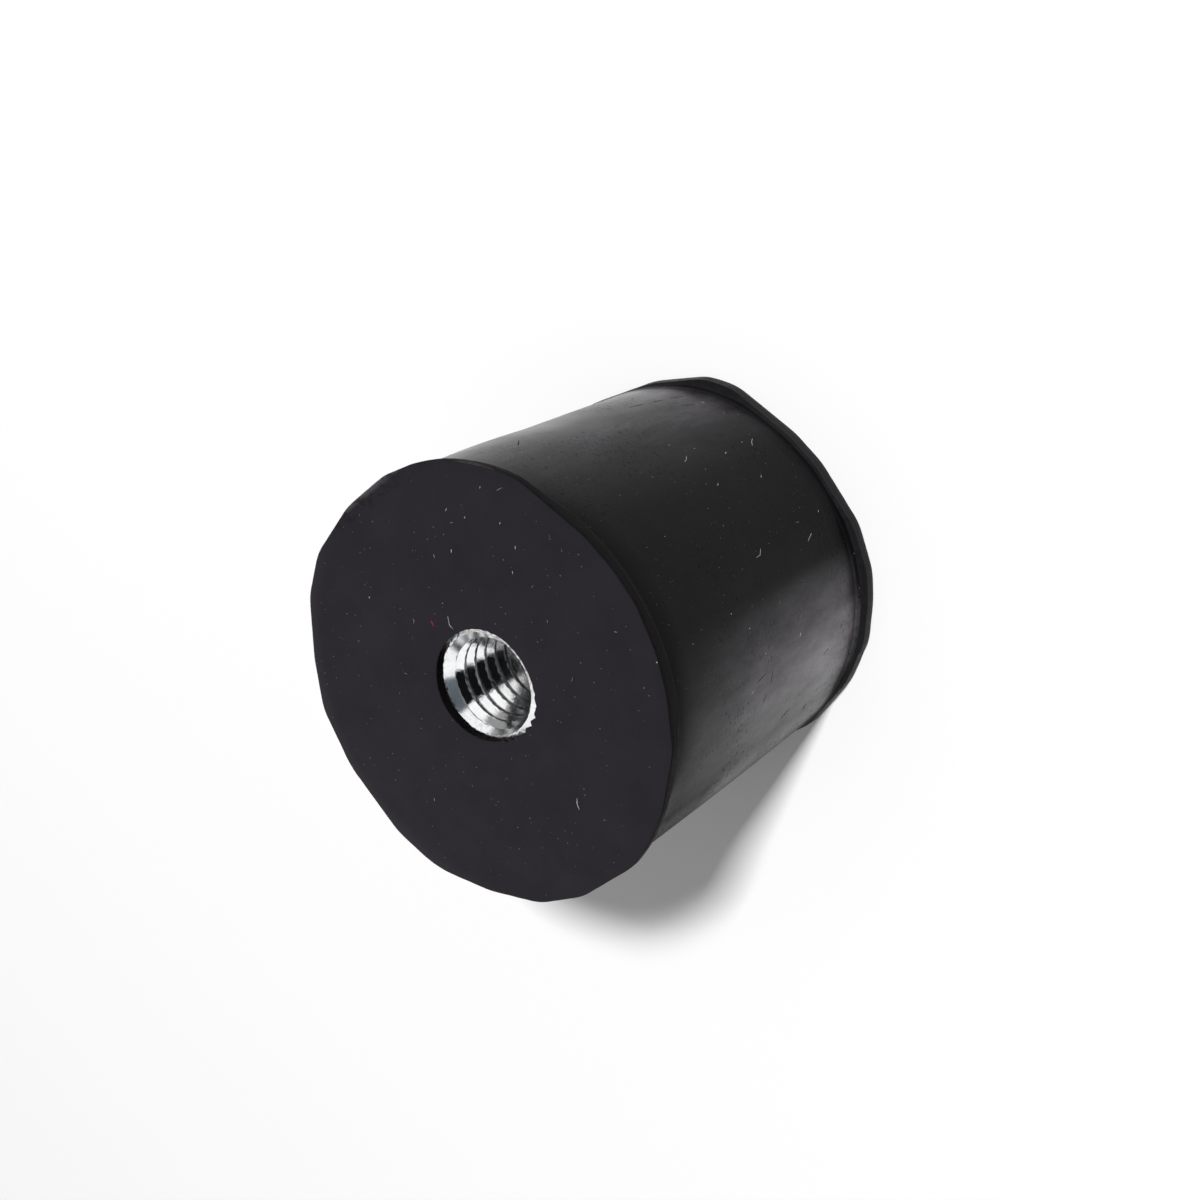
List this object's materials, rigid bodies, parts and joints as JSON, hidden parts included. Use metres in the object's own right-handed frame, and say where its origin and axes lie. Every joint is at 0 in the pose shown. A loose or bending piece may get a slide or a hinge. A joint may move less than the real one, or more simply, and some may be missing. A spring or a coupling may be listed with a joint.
{
  "type": "rubber mount",
  "caption": "Cylindrical rubber anti-vibration mount with a bonded steel insert and a blind threaded hole in each end face.",
  "frame": {"origin": "centre of the bottom end face, on the cylinder's axis", "axes": "+Z along the cylinder's axis from the bottom end face to the top one; +X to the right of the picture as seen on the visible end face"},
  "size_m": [0.0415, 0.0416, 0.036],
  "materials": {
    "rubber": "satin moulded black rubber with trimmed flash rims",
    "zinc_steel": "bright zinc-plated steel"
  },
  "bodies": {
    "root": {"rubber_body": "rubber", "top_insert": "zinc_steel", "bottom_insert": "zinc_steel"}
  },
  "joints": []
}
